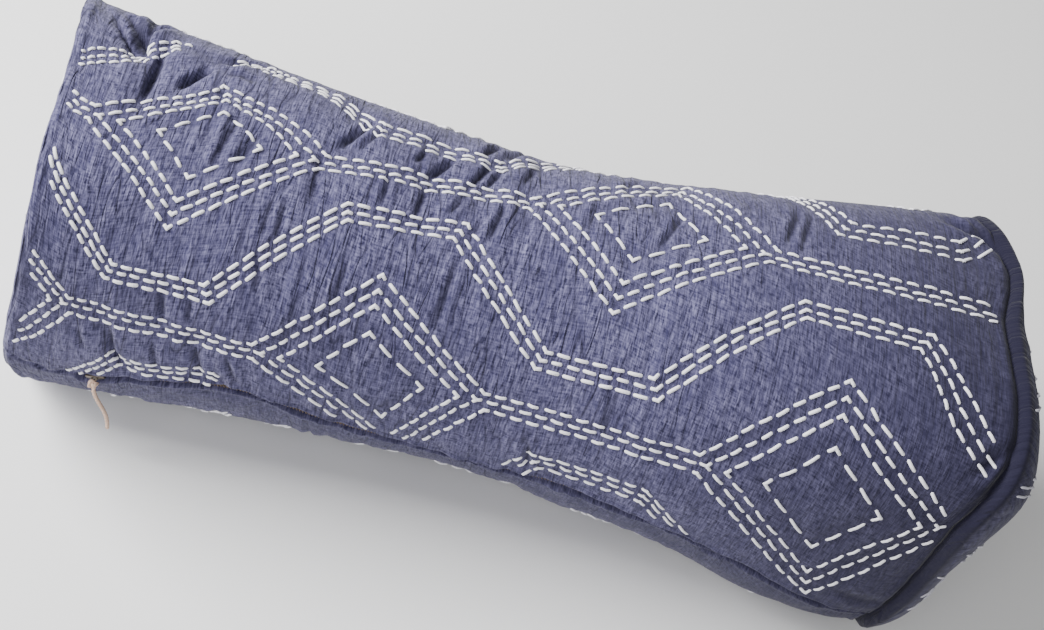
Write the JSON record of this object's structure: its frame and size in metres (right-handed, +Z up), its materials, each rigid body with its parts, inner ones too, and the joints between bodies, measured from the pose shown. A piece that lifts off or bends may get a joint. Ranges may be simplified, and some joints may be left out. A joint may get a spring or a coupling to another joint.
{
  "type": "cervical pillow",
  "caption": "Waisted neck bolster with squarish ends, filled and lying flat, in a stitched cotton cover with a concealed zip and a thin pull lace.",
  "frame": {"origin": "on the surface it rests on, below the middle of the pillow's box, measured without the lace", "axes": "+X along the pillow, -Y towards the front with the zip, +Z up"},
  "size_m": [0.4564, 0.1727, 0.1657],
  "materials": {
    "cover_cloth": "indigo chambray with a fine crinkle and raised off-white running stitches",
    "panel_cloth": "the same indigo chambray, in the shade",
    "zip_tape": "dark woven zip tape",
    "zip_metal": "dull dark metal",
    "pull_lace": "tan waxed cotton lace"
  },
  "bodies": {
    "root": {"cover_body": "cover_cloth", "end_panel_left": "panel_cloth", "end_panel_right": "panel_cloth", "zip_tape": "zip_tape", "zip_slider": "zip_metal", "pull_knot": "pull_lace", "pull_cord": "pull_lace"}
  },
  "joints": []
}
